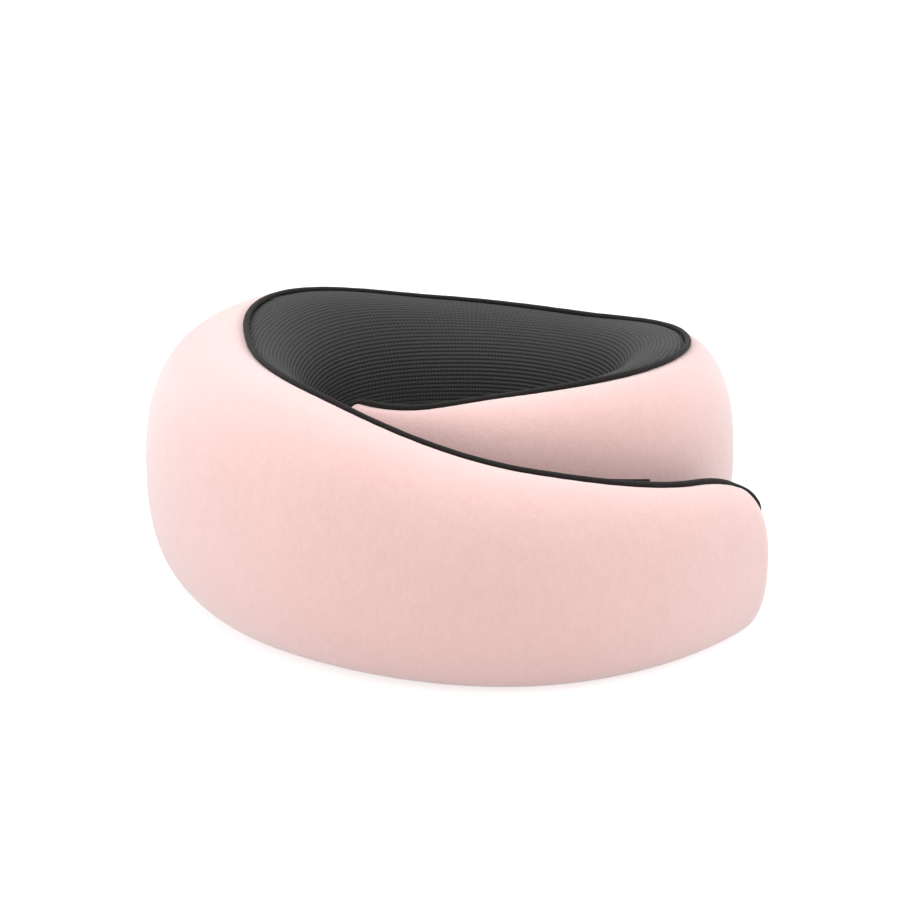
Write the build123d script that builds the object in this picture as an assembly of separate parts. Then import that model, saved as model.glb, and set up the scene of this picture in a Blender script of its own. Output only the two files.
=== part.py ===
from build123d import *
import os
from math import acos, asin, copysign, cos, degrees, radians, sin

os.makedirs("parts", exist_ok=True)

# Wrap-round neck pillow: a padded roll wound a turn and a quarter round the neck.
# Millimetres and degrees. +Z up, the base at Z = 0, the arms overlap at the -Y side.
# An angle round the neck is measured clockwise, seen from above, from the +X side:
# 180 is the left, 270 the nape, 360 the right, and the roll ends at 35 and at 485.

# Driving dimensions of the roll, one value every 45 degrees from the outer tip on.
FIRST_ANGLE = 35
ANGLE_STEP = 45
ROLL_RADIUS = [128, 128, 116, 104, 99, 85, 81, 84, 84, 77, 67]
HALF_THICKNESS = [16, 25, 30, 38, 40, 38, 34, 30, 26, 20.5, 15]
TOP_HEIGHT = [69, 85, 106, 108, 110, 100, 98, 105, 106, 101, 93]
SEAM_SHARE = [0, -0.2, -0.35, -0.2, 0.15, 0.25, 0.2, 0.3, 0.1, -0.25, 0]
ROUNDNESS = 2.5
NECK_X = 10.3
NECK_Y = 15.6
FLOOR_DIP = 0.5

# Where the roll is cut into bodies.
LEFT_CUT = 178
OUTER_TIP_CUT = 112
RIGHT_CUT = 345
INNER_TIP_CUT = 400
LAST_ANGLE = FIRST_ANGLE + ANGLE_STEP * (len(ROLL_RADIUS) - 1)
CUT_HALF_GAP = 0.2
STATION_PITCH = 13
PIPING_PITCH = 16
END_STEPS = 10
PANEL_POINTS = 11

# Layers, measured inwards from the outer skin.
COVER_THICKNESS = 1.6
LINER_OUTER = 2.2
LINER_INNER = 2.9
FOAM_SKIN = 3.1
LOWER_SEAM_HEIGHT = 26
LOWER_SEAM_HALF_GAP = 0.05
PIPING_RADIUS = 1.5
PIPING_LIFT = 0.3
PIPING_CLEARANCE = 1.9

# Touch-fastening patches on the two faces that meet where the arms overlap.
PATCH_BACK = 0.3
PATCH_FRONT = 1.3
LOOP_ANGLES = (409, 435)
LOOP_HEIGHTS = (29, 67)
LOOP_CLIMB = 0.28
HOOK_ANGLES = (48, 78)
HOOK_HEIGHTS = (30, 60)
HOOK_CLIMB = 0

# Zip in the lower back of the cover, on an arc about its own centre.
ZIP_X = NECK_X - 15.5
ZIP_Y = NECK_Y - 14.9
ZIP_RADIUS = 133.4
ZIP_HEIGHT = 24
ZIP_TILT = 17
ZIP_ENDS = (43.0, 128.0)
TEETH_ENDS = (45.0, 126.2)
TOP_STOP_ENDS = (43.8, 44.8)
BOTTOM_STOP_ENDS = (126.5, 127.5)
TAPE_EDGES = (1.3, 7.0)
TAPE_DEPTHS = (-1.5, -0.7)
TEETH_HALF_WIDTH = 1.1
TEETH_DEPTHS = (-1.3, 0.3)
STOP_HALF_WIDTH = 1.6
STOP_DEPTHS = (-0.65, 0.45)
SLOT_HALF_WIDTH = 7.2
SLOT_DEPTHS = (-2.15, 4)
SLIDER_ANGLE = 47.4
SLIDER_HALF_ARC = 2.0
SLIDER_HALF_WIDTH = 3.2
SLIDER_THROAT = 2.0
SLIDER_DEPTHS = (-0.3, 0.75, 1.75)
PIN_OUT = 3.9
PIN_RADIUS = 0.6
LUG_MIDDLE = 2.1
LUG_WIDTH = 1.0
LUG_HALF_HEIGHT = 1.1
PULL_WIDTH = 2.6
PULL_THICKNESS = 1.0
PULL_LENGTH = 16
PULL_EYE_RADIUS = 1.7
PULL_BORE_RADIUS = 0.95
PULL_TAB_WIDTH = 5.2
PULL_TAB_LENGTH = 9


def station_value(table, angle):
    """Smooth value at an angle from a table of stations."""
    last = len(table) - 1
    step = (angle - FIRST_ANGLE) / ANGLE_STEP
    k = min(max(int(step), 0), last - 1)
    f = step - k

    def slope(i):
        return 0 if i in (0, last) else (table[i + 1] - table[i - 1]) / 2

    rise = table[k + 1] - table[k]
    ease = f * f * (3 - 2 * f)
    return table[k] + rise * ease + slope(k) * f * (1 - f) ** 2 - slope(k + 1) * f * f * (1 - f)


class Slice:
    """Upright slice through the roll at one angle round the neck."""

    def __init__(self, angle):
        self.angle = angle
        self.radius = station_value(ROLL_RADIUS, angle)
        self.half_thick = station_value(HALF_THICKNESS, angle)
        top = station_value(TOP_HEIGHT, angle)
        self.half_height = (top + FLOOR_DIP) / 2
        self.mid_height = (top - FLOOR_DIP) / 2
        self.seam = station_value(SEAM_SHARE, angle) * self.half_thick

    def outward(self):
        """Level direction away from the neck."""
        return Vector(cos(radians(self.angle)), -sin(radians(self.angle)), 0)

    def onward(self):
        """Level direction along the roll, towards the inner tip."""
        return Vector(-sin(radians(self.angle)), -cos(radians(self.angle)), 0)

    def place(self, across, height):
        """Point of the slice, across the roll from its middle line, away from the neck."""
        return Vector(NECK_X, NECK_Y, height) + self.outward() * (self.radius + across)

    def skin(self, turn, inset):
        """Point of the skin: turn 0 is outermost, 90 the crown, 180 the neck side."""
        c = cos(radians(turn))
        s = sin(radians(turn))
        across = (self.half_thick - inset) * copysign(abs(c) ** (2 / ROUNDNESS), c)
        rise = (self.half_height - inset) * copysign(abs(s) ** (2 / ROUNDNESS), s)
        return self.place(across, self.mid_height + rise)

    def crown_turn(self, across, inset):
        """Turn of the crown point at a distance across."""
        share = across / (self.half_thick - inset)
        return degrees(acos(copysign(abs(share) ** (ROUNDNESS / 2), share)))

    def wall_turn(self, height, inset):
        """Turn of the outer wall's point at a height."""
        share = (height - self.mid_height) / (self.half_height - inset)
        return degrees(asin(copysign(abs(share) ** (ROUNDNESS / 2), share)))

    def curve(self, start, end, inset, points):
        """Smooth edge along the skin from one turn to another."""
        turns = [start + (end - start) * i / (points - 1) for i in range(points)]
        return Edge.make_spline([self.skin(turn, inset) for turn in turns])


def stations(start, end, pitch=STATION_PITCH):
    """Evenly spaced slices from one angle to another."""
    count = max(3, round((end - start) / pitch) + 1)
    return [Slice(start + (end - start) * i / (count - 1)) for i in range(count)]


def tips(cuts):
    """The slice at which a run of slices reaches a tip, if it does."""
    return [cut for cut in (cuts[0], cuts[-1]) if cut.angle in (FIRST_ANGLE, LAST_ANGLE)]


def band_wire(cut, outer_turns, inner_turns, depths, points):
    """Closed outline of a fabric band between two depths, through the same turns on both."""
    outer = [cut.curve(a, b, depths[0], points) for a, b in zip(outer_turns, outer_turns[1:])]
    back_turns = inner_turns[::-1]
    inner = [cut.curve(a, b, depths[1], points) for a, b in zip(back_turns, back_turns[1:])]
    first_end = Edge.make_line(outer[-1] @ 1, inner[0] @ 0)
    last_end = Edge.make_line(inner[-1] @ 1, outer[0] @ 0)
    return Wire([*outer, first_end, *inner, last_end])


def cover_turns(cut, inset):
    """The pink panel runs from the crown seam over the outside and under to the lower seam."""
    start = cut.crown_turn(cut.seam + PIPING_CLEARANCE, inset)
    low = cut.wall_turn(LOWER_SEAM_HEIGHT - LOWER_SEAM_HALF_GAP, inset)
    return start, low, -90, -180 - low


def mesh_turns(cut, inset):
    """The mesh panel runs from the crown seam down the neck side to the lower seam."""
    start = cut.crown_turn(cut.seam - PIPING_CLEARANCE, inset)
    end = 180 - cut.wall_turn(LOWER_SEAM_HEIGHT + LOWER_SEAM_HALF_GAP, inset)
    return start, end


def panel_wire(cut, turns):
    """Outline of a cover panel, with its two turns given by a function of the inset."""
    depths = (0, COVER_THICKNESS)
    return band_wire(cut, turns(cut, 0), turns(cut, COVER_THICKNESS), depths, PANEL_POINTS)


def roll_wire(cut, inset):
    """Whole outline of the roll, as an outer and a neck-side half."""
    return Wire([cut.curve(90, -90, inset, 15), cut.curve(270, 90, inset, 15)])


def tip_axis(cut):
    """Upright axis about which the end of the roll is turned."""
    return Axis(cut.place(0, 0), (0, 0, 1))


def tip_turn(cut):
    """Way of turning, +1 or -1, that takes the outside of the roll round its end."""
    return 1 if cut.angle == FIRST_ANGLE else -1


def turned(cut, wire, arc):
    """Solid of an upright outline turned about the tip's axis."""
    return revolve(Face(wire), axis=tip_axis(cut), revolution_arc=arc)


def roll_body(start, end, inset):
    """Closed solid of the roll between two angles, with a rounded end at a tip."""
    cuts = stations(start, end)
    body = Solid.make_loft([roll_wire(cut, inset) for cut in cuts])
    for cut in tips(cuts):
        half = cut.curve(90, -90, inset, 15)
        wire = Wire([half, Edge.make_line(half @ 1, half @ 0)])
        body = body + turned(cut, wire, 180 * tip_turn(cut))
    return body


def cover_end(cut):
    """Pink panel round the end of the roll: the outer quarter and the part under the mesh."""
    depths = (0, COVER_THICKNESS)
    outer = cover_turns(cut, 0)
    inner = cover_turns(cut, COVER_THICKNESS)
    outside = band_wire(cut, outer[:3], inner[:3], depths, PANEL_POINTS)
    below = band_wire(cut, outer[2:], inner[2:], depths, PANEL_POINTS)
    turn = 90 * tip_turn(cut)
    return turned(cut, outside, turn) + turned(cut, below, -turn)


def mesh_end(cut):
    """Mesh panel round the neck-side quarter of the end of the roll."""
    return turned(cut, panel_wire(cut, mesh_turns), -90 * tip_turn(cut))


def piping_circle(cut, across, rise, normal, radius):
    """Outline of the piping at a point of a tip's end or of the crown."""
    centre = cut.place(0, rise) + across
    return Wire.make_circle(radius, Plane(origin=centre, x_dir=cut.outward(), z_dir=normal))


def crown_circle(cut, way, radius):
    """Outline of the piping where it crosses a slice at the crown seam."""
    point = cut.skin(cut.crown_turn(cut.seam, 0), -PIPING_LIFT)
    across = cut.outward() * cut.seam
    return piping_circle(cut, across, point.Z, cut.onward() * way, radius)


def end_piping(cut, radius):
    """Piping down the very end of a tip, from the crown to the lower seam."""
    way = -tip_turn(cut)
    reach = cut.half_thick + PIPING_LIFT
    tall = cut.half_height + PIPING_LIFT
    share = (LOWER_SEAM_HEIGHT - cut.mid_height) / tall
    low = degrees(asin(copysign(abs(share) ** (ROUNDNESS / 2), share)))
    circles = [crown_circle(cut, way, radius)]
    for i in range(1, END_STEPS + 1):
        turn = 90 + (low - 90) * i / END_STEPS
        c = max(cos(radians(turn)), 0)
        s = sin(radians(turn))
        out = reach * c ** (2 / ROUNDNESS)
        up = tall * copysign(abs(s) ** (2 / ROUNDNESS), s)
        steep_out = abs(up / tall) ** (ROUNDNESS - 1) * reach * copysign(1, up)
        steep_down = (out / reach) ** (ROUNDNESS - 1) * tall
        heading = cut.onward() * (way * steep_out) + Vector(0, 0, -steep_down)
        across = cut.onward() * (way * out)
        circles.append(piping_circle(cut, across, cut.mid_height + up, heading, radius))
    return Solid.make_loft(circles, ruled=True)


def piping(start, end):
    """Piping along the crown seam, and down the end at a tip."""
    cuts = stations(start, end, PIPING_PITCH)
    cord = Solid.make_loft([crown_circle(cut, 1, PIPING_RADIUS) for cut in cuts])
    for cut in tips(cuts):
        cord = cord + end_piping(cut, PIPING_RADIUS)
    return cord


def base_cutter():
    """Everything below the base."""
    return Pos(0, 0, -50) * Box(600, 600, 100)


def cover_panel(start, end):
    """Pink panel of one section, flat where it rests."""
    cuts = stations(start, end)
    panel = Solid.make_loft([panel_wire(cut, cover_turns) for cut in cuts])
    for cut in tips(cuts):
        panel = panel + cover_end(cut) - end_piping(cut, PIPING_CLEARANCE)
    return panel - base_cutter()


def mesh_panel(start, end):
    """Mesh panel of one section."""
    cuts = stations(start, end)
    panel = Solid.make_loft([panel_wire(cut, mesh_turns) for cut in cuts])
    for cut in tips(cuts):
        panel = panel + mesh_end(cut) - end_piping(cut, PIPING_CLEARANCE)
    return panel


def liner(start, end):
    """Thin inner bag round the foam."""
    return roll_body(start, end, LINER_OUTER) - roll_body(start, end, LINER_INNER)


def patch(angles, heights, climb, outer_side):
    """Touch fastener on the outer or the neck-side wall, which climbs so much a degree."""
    wires = []
    for cut in stations(angles[0], angles[1]):
        turns = []
        lift = climb * (cut.angle - angles[0])
        for inset in (-PATCH_FRONT, -PATCH_BACK):
            pair = [cut.wall_turn(height + lift, inset) for height in heights]
            turns.append(pair if outer_side else [180 - turn for turn in pair])
        wires.append(band_wire(cut, turns[0], turns[1], (-PATCH_FRONT, -PATCH_BACK), 7))
    return Solid.make_loft(wires)


def zip_point(along, out):
    """Point of the zip's tilted cross-section at angle 0: along the wall and out of it."""
    tilt = radians(ZIP_TILT)
    reach = ZIP_RADIUS + along * sin(tilt) + out * cos(tilt)
    height = ZIP_HEIGHT + along * cos(tilt) - out * sin(tilt)
    return Vector(ZIP_X + reach, ZIP_Y, height)


def zip_axis():
    """Upright axis of the zip's arc."""
    return Axis((ZIP_X, ZIP_Y, 0), (0, 0, 1))


def zip_strip(outline, ends):
    """Solid of a cross-section outline run along the zip's arc."""
    wire = Wire.make_polygon([zip_point(along, out) for along, out in outline], close=True)
    strip = revolve(Face(wire), axis=zip_axis(), revolution_arc=ends[1] - ends[0])
    return strip.rotate(zip_axis(), ends[0])


def rectangle(low, high, depths):
    """Corners of a rectangle in the zip's cross-section."""
    return [(low, depths[0]), (high, depths[0]), (high, depths[1]), (low, depths[1])]


def slider_plane():
    """Frame of the slider at rest: x along the zip, y up the wall, z out of it."""
    turn = radians(SLIDER_ANGLE)
    tilt = radians(ZIP_TILT)
    facing = Vector(cos(turn), sin(turn), 0)
    centre = Vector(ZIP_X, ZIP_Y, ZIP_HEIGHT) + facing * ZIP_RADIUS
    out = facing * cos(tilt) - Vector(0, 0, sin(tilt))
    return Plane(origin=centre, x_dir=Vector(-sin(turn), cos(turn), 0), z_dir=out)


def zip_slider():
    """Slider shell over the teeth, with two lugs and the pin of the pull."""
    low, under, top = SLIDER_DEPTHS
    wide = SLIDER_HALF_WIDTH
    outline = [(-wide, low), (-wide, top), (wide, top), (wide, low)]
    outline += [(SLIDER_THROAT, low), (SLIDER_THROAT, under)]
    outline += [(-SLIDER_THROAT, under), (-SLIDER_THROAT, low)]
    ends = (SLIDER_ANGLE - SLIDER_HALF_ARC, SLIDER_ANGLE + SLIDER_HALF_ARC)
    body = zip_strip(outline, ends)
    foot = under + 0.4
    tall = PIN_OUT + LUG_HALF_HEIGHT - foot
    plane = slider_plane()
    for side in (-1, 1):
        lug = Box(LUG_WIDTH, 2 * LUG_HALF_HEIGHT, tall)
        body = body + plane * Pos(side * LUG_MIDDLE, 0, foot + tall / 2) * lug
    pin = Rot(0, 90, 0) * Cylinder(PIN_RADIUS, 2 * LUG_MIDDLE)
    return body + plane * Pos(0, 0, PIN_OUT) * pin


def zip_pull():
    """Flat pull that hangs from the slider's pin."""
    plane = slider_plane()
    pin_centre = plane.origin + plane.z_dir * PIN_OUT
    hanging = Plane(origin=pin_centre, x_dir=plane.x_dir, z_dir=(0, 0, 1))
    eye = Rot(0, 90, 0) * Cylinder(PULL_EYE_RADIUS, PULL_WIDTH)
    stem_length = PULL_LENGTH - PULL_TAB_LENGTH
    stem = Pos(0, 0, -stem_length / 2 - 0.5) * Box(PULL_WIDTH, PULL_THICKNESS, stem_length)
    tab = Box(PULL_TAB_WIDTH, PULL_THICKNESS, PULL_TAB_LENGTH)
    tab = fillet(tab.edges().filter_by(Axis.Y), 1.4)
    tab = Pos(0, 0, -PULL_LENGTH + PULL_TAB_LENGTH / 2) * tab
    bore = Rot(0, 90, 0) * Cylinder(PULL_BORE_RADIUS, 2 * PULL_WIDTH)
    return hanging * (eye + stem + tab - bore)


def write(shape, node):
    """Write one node's file."""
    export_step(shape, f"parts/{node}.step")
    print(node, round(shape.volume))


SECTIONS = {
    "outer_tip": (FIRST_ANGLE, OUTER_TIP_CUT - CUT_HALF_GAP),
    "outer_arm": (OUTER_TIP_CUT + CUT_HALF_GAP, LEFT_CUT - CUT_HALF_GAP),
    "back": (LEFT_CUT + CUT_HALF_GAP, RIGHT_CUT - CUT_HALF_GAP),
    "inner_arm": (RIGHT_CUT + CUT_HALF_GAP, INNER_TIP_CUT - CUT_HALF_GAP),
    "inner_tip": (INNER_TIP_CUT + CUT_HALF_GAP, LAST_ANGLE),
}

zip_slot = zip_strip(rectangle(-SLOT_HALF_WIDTH, SLOT_HALF_WIDTH, SLOT_DEPTHS), ZIP_ENDS)
for name, (start, end) in SECTIONS.items():
    cover = cover_panel(start, end)
    if name == "back":
        cover = cover - zip_slot
    write(cover, f"cover_{name}")
    write(mesh_panel(start, end), f"mesh_{name}")
    write(piping(start, end), f"piping_{name}")
    write(liner(start, end), f"liner_{name}")
    write(roll_body(start, end, FOAM_SKIN), f"foam_{name}")

write(patch(LOOP_ANGLES, LOOP_HEIGHTS, LOOP_CLIMB, True), "loop_patch")
write(patch(HOOK_ANGLES, HOOK_HEIGHTS, HOOK_CLIMB, False), "hook_patch")

tape_low, tape_high = TAPE_EDGES
tape_arc = (ZIP_ENDS[0] + 0.1, ZIP_ENDS[1] - 0.1)
write(zip_strip(rectangle(tape_low, tape_high, TAPE_DEPTHS), tape_arc), "zip_tape_upper")
write(zip_strip(rectangle(-tape_high, -tape_low, TAPE_DEPTHS), tape_arc), "zip_tape_lower")
teeth = rectangle(-TEETH_HALF_WIDTH, TEETH_HALF_WIDTH, TEETH_DEPTHS)
write(zip_strip(teeth, TEETH_ENDS), "zip_teeth")
stop = rectangle(-STOP_HALF_WIDTH, STOP_HALF_WIDTH, STOP_DEPTHS)
write(zip_strip(stop, TOP_STOP_ENDS), "zip_top_stop")
write(zip_strip(stop, BOTTOM_STOP_ENDS), "zip_bottom_stop")
write(zip_slider(), "zip_slider")
write(zip_pull(), "zip_pull")
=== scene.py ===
"""Wrap-round neck pillow: brushed cover, spacer-mesh lining, piping, zip and touch fastener.

Metres. An angle round the neck is measured clockwise, seen from above, from the +X side:
180 is the left, 270 the nape, 360 the right, and the roll ends at 35 and at 485.
"""
import math

import bmesh
import bpy
import numpy as np
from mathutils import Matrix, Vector
from mathutils.bvhtree import BVHTree


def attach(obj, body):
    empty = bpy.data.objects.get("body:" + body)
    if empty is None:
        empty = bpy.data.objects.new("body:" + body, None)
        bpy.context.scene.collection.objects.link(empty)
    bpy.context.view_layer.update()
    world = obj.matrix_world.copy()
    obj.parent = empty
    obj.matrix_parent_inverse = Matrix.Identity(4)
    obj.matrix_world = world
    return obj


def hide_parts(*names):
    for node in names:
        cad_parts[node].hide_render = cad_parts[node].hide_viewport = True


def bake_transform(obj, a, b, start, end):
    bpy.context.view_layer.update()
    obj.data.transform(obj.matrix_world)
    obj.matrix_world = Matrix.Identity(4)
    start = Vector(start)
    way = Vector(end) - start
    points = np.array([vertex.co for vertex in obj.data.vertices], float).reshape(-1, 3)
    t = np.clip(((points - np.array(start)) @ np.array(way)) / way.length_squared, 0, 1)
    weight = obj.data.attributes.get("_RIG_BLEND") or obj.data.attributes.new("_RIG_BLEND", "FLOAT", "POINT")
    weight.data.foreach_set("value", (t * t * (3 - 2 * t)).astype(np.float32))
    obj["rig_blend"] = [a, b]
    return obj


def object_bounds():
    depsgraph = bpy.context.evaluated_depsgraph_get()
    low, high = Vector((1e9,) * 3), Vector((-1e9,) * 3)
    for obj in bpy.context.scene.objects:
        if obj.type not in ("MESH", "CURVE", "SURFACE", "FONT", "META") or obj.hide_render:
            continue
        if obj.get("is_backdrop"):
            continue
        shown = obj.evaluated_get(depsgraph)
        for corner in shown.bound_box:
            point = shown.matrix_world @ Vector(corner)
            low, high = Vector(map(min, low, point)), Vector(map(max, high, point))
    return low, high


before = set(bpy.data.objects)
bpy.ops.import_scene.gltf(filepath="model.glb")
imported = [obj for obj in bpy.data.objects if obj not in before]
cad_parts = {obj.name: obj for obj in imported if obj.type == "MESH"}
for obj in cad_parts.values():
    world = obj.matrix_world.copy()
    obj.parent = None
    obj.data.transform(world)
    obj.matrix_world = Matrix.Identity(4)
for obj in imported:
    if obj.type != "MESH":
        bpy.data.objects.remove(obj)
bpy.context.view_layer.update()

# Form of the roll, one value every 45 degrees from the outer tip on, as in the part.
MM = 0.001
FIRST_ANGLE = 35
ANGLE_STEP = 45
ROLL_RADIUS = np.array([128, 128, 116, 104, 99, 85, 81, 84, 84, 77, 66]) * MM
HALF_THICKNESS = np.array([16, 25, 30, 38, 40, 38, 34, 30, 26, 20.5, 15]) * MM
TOP_HEIGHT = np.array([69, 85, 106, 108, 110, 100, 97.5, 104.4, 106, 101, 91]) * MM
SEAM_SHARE = np.array([0, -0.2, -0.35, -0.2, 0.15, 0.25, 0.2, 0.3, 0.1, -0.25, 0])
LAST_ANGLE = FIRST_ANGLE + ANGLE_STEP * (len(ROLL_RADIUS) - 1)
ROUNDNESS = 2.5
FLOOR_DIP = 0.5 * MM
NECK = np.array([10.3, 15.6, 0]) * MM
CAP_SPAN = 10
LOWER_SEAM_HEIGHT = 26 * MM

# The outer tip's upper corner is rounded off, from this angle on.
CORNER_START = 46
CORNER_FALL = 9.5

# Over the outer tip's end the seam swings outwards before it goes down: turn, and where the
# seam lies between the outer side (0) and the neck side (180).
END_SEAM_TURNS = [-90, 0, 10, 24, 36, 46, 54, 62, 71, 80, 90]
END_SEAM_PLACES = [90, 90, 88, 80, 66, 49, 33, 24, 30, 54, 90]
INNER_STRETCH = 8.0 * MM

# Zip in the lower back, on an arc about its own centre.
ZIP_CENTRE = NECK + np.array([-15.5, -14.9, 24]) * MM
ZIP_RADIUS = 133.4 * MM
ZIP_TILT = math.radians(17)
ZIP_ENDS = (43.0, 128.0)
TEETH_ENDS = (45.0, 126.2)
SLOT_HALF_WIDTH = 5.0 * MM

# Layers under the skin.
COVER_THICKNESS = 1.0 * MM
MESH_THICKNESS = 1.0 * MM
LINER_DEPTH = 2.2 * MM
FOAM_DEPTH = 3.1 * MM
SEAM_GAP = 0.25 * MM
SEAM_TUCK = 1.1 * MM
SEAM_TUCK_REACH = 2.6 * MM
LINER_ZIP_LEVEL = -2.9 * MM
FOAM_ZIP_LEVEL = -3.8 * MM
COVER_ZIP_LEVEL = -1.7 * MM

# Piping and knit.
PIPING_HALF_WIDTH = 1.4 * MM
PIPING_HALF_HEIGHT = 1.2 * MM
ROW_PITCH = 1.83 * MM
ROW_RISE = 0.16 * MM
COLUMN_PITCH = 1.75 * MM

# Middling radii that turn an angle round the neck into a length of fabric.
ROLL_LENGTH_RADIUS = 0.1
KNIT_LENGTH_RADIUS = 62 * MM

# Touch fastener: the loop patch on the inner arm, the hook patch on the outer tip.
LOOP_ANGLES = (409, 435)
LOOP_HEIGHTS = (29.9 * MM, 67.9 * MM)
LOOP_CLIMB = 0.28 * MM
HOOK_ANGLES = (48.5, 78)
HOOK_HEIGHTS = (30 * MM, 60 * MM)
BORDER_INSET = 2.2 * MM
BORDER_LIFT = 0.85 * MM
BORDER_PITCH = 2.6 * MM
BORDER_STITCH = (1.9 * MM, 0.5 * MM, 0.4 * MM)
HOOK_PITCH = 1.5 * MM
HOOK_SIZE = (0.35 * MM, 0.5 * MM, 0.9 * MM)

# Sewing and teeth: pitch along the line, and the size of one stitch or tooth.
SEAM_PITCH = 3.4 * MM
SEAM_STITCH = (2.4 * MM, 0.55 * MM, 0.45 * MM)
TOP_PITCH = 3.2 * MM
TOP_STITCH = (2.4 * MM, 0.6 * MM, 0.5 * MM)
TOOTH_PITCH = 0.75 * MM
TOOTH_SIZE = (0.62 * MM, 1.9 * MM, 1.1 * MM)

# Each stretch crosses one joint: name, run of angles, the two bodies, the joint's angle,
# and how far before and after it the fabric bends.
TIP_RUN = (FIRST_ANGLE - CAP_SPAN, LAST_ANGLE + CAP_SPAN)
STRETCHES = [
    ("outer", (TIP_RUN[0], 145), ("outer_arm", "outer_tip"), 112, (40 * MM, 40 * MM)),
    ("left", (145, 262), ("back", "outer_arm"), 178, (40 * MM, 40 * MM)),
    ("right", (262, 372), ("back", "inner_arm"), 345, (40 * MM, 25 * MM)),
    ("inner", (372, TIP_RUN[1]), ("inner_arm", "inner_tip"), 400, (26 * MM, 40 * MM)),
]
SECTIONS = {
    "outer": ["outer_tip"],
    "left": ["outer_arm"],
    "right": ["back"],
    "inner": ["inner_arm", "inner_tip"],
}


# ---------------------------------------------------------------- form of the roll

def station_value(table, angle):
    """Smooth value at an angle from a table of stations."""
    step = (np.asarray(angle, float) - FIRST_ANGLE) / ANGLE_STEP
    k = np.clip(step.astype(int), 0, len(table) - 2)
    f = step - k
    slope = np.zeros(len(table))
    slope[1:-1] = (table[2:] - table[:-2]) / 2
    ease = f * f * (3 - 2 * f)
    bend = slope[k] * f * (1 - f) ** 2 - slope[k + 1] * f * f * (1 - f)
    return table[k] + (table[k + 1] - table[k]) * ease + bend


def signed_power(value, power):
    return np.sign(value) * np.abs(value) ** power


def roll_sizes(run):
    """Angle, middle radius, half thickness, half height and middle height at a run."""
    angle = np.clip(run, FIRST_ANGLE, LAST_ANGLE)
    top = station_value(TOP_HEIGHT, angle)
    radius = station_value(ROLL_RADIUS, angle)
    half_thick = station_value(HALF_THICKNESS, angle)
    return angle, radius, half_thick, (top + FLOOR_DIP) / 2, (top - FLOOR_DIP) / 2


def roll_point(run, turn, depth=0.0):
    """Points under the skin: run goes along the roll, turn round it, both in degrees.
    Turn 0 is outermost, 90 the crown and 180 the neck side."""
    run, turn, depth = np.broadcast_arrays(run, turn, depth)
    angle, radius, half_thick, half_height, middle = roll_sizes(run)
    across = (half_thick - depth) * signed_power(np.cos(np.radians(turn)), 2 / ROUNDNESS)
    rise = (half_height - depth) * signed_power(np.sin(np.radians(turn)), 2 / ROUNDNESS)
    outer = np.cos(np.radians(turn)) >= 0
    height_turn = np.degrees(np.arcsin(np.clip(np.sin(np.radians(turn)), -1, 1)))
    end_place = np.interp(height_turn, END_SEAM_TURNS, END_SEAM_PLACES)
    place = np.where(run < FIRST_ANGLE, end_place, 90)
    cap = np.radians(np.where(outer, place, 180 - place) * (run - angle) / CAP_SPAN)
    out = radius + across * np.cos(cap)
    onward = np.abs(across) * np.sin(cap)
    onward = onward + INNER_STRETCH * np.clip((angle - LAST_ANGLE + 20) / 20, 0, 1) ** 2
    cos_a, sin_a = np.cos(np.radians(angle)), np.sin(np.radians(angle))
    x = NECK[0] + out * cos_a - onward * sin_a
    y = NECK[1] - out * sin_a - onward * cos_a
    past = (math.radians(CORNER_START) - np.radians(angle)) * ROLL_RADIUS[0] - np.minimum(onward, 0)
    fall = CORNER_FALL * np.maximum(past, 0) ** 2 * (middle + rise) / TOP_HEIGHT[0]
    return np.stack([x, y, np.maximum(middle + rise - fall, 0)], -1)


def crown_turn(run, shift):
    """Turn of the crown point that lies a shift outwards of the crown seam."""
    angle, _, half_thick, _, _ = roll_sizes(run)
    share = station_value(SEAM_SHARE, angle) + shift / half_thick
    return np.degrees(np.arccos(signed_power(share, ROUNDNESS / 2)))


def wall_turn(run, height):
    """Turn of the outer wall's point at a height; 180 minus it is on the neck side."""
    _, _, _, half_height, middle = roll_sizes(run)
    share = (height - middle) / half_height
    return np.degrees(np.arcsin(signed_power(share, ROUNDNESS / 2)))


def even_turns(runs, start, end, count, samples=240):
    """Turns from start to end at each run, evenly spaced along the skin, and their distances."""
    share = np.linspace(0, 1, samples)
    turns = start[:, None] + (end - start)[:, None] * share
    points = roll_point(np.clip(runs, FIRST_ANGLE, LAST_ANGLE)[:, None], turns)
    steps = np.linalg.norm(np.diff(points, axis=1), axis=2)
    length = np.concatenate([np.zeros((len(runs), 1)), np.cumsum(steps, 1)], 1)
    wanted = length[:, -1:] * np.linspace(0, 1, count)
    out = [np.interp(w, l, t) for w, l, t in zip(wanted, length, turns)]
    return np.array(out), wanted


# ---------------------------------------------------------------- mesh building

def grid_faces(columns, rows, closed=False):
    """Quads of a grid of points, columns first; closed joins the last row to the first."""
    i, j = np.meshgrid(np.arange(columns - 1), np.arange(rows if closed else rows - 1), indexing="ij")
    k = (j + 1) % rows
    quads = np.stack([i * rows + j, (i + 1) * rows + j, (i + 1) * rows + k, i * rows + k], -1)
    return quads.reshape(-1, 4)


def new_piece(name, points, faces, uv=None):
    """Smooth mesh object from points, faces and an optional uv for each point."""
    mesh = bpy.data.meshes.new(name)
    mesh.from_pydata(np.asarray(points).reshape(-1, 3).tolist(), [], [list(f) for f in faces])
    if uv is not None:
        layer = mesh.uv_layers.new(name="Fabric")
        corner = np.zeros(len(mesh.loops), np.int32)
        mesh.loops.foreach_get("vertex_index", corner)
        layer.data.foreach_set("uv", uv.reshape(-1, 2)[corner].astype(np.float32).ravel())
    piece = bpy.data.objects.new(name, mesh)
    bpy.context.scene.collection.objects.link(piece)
    return piece


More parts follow.
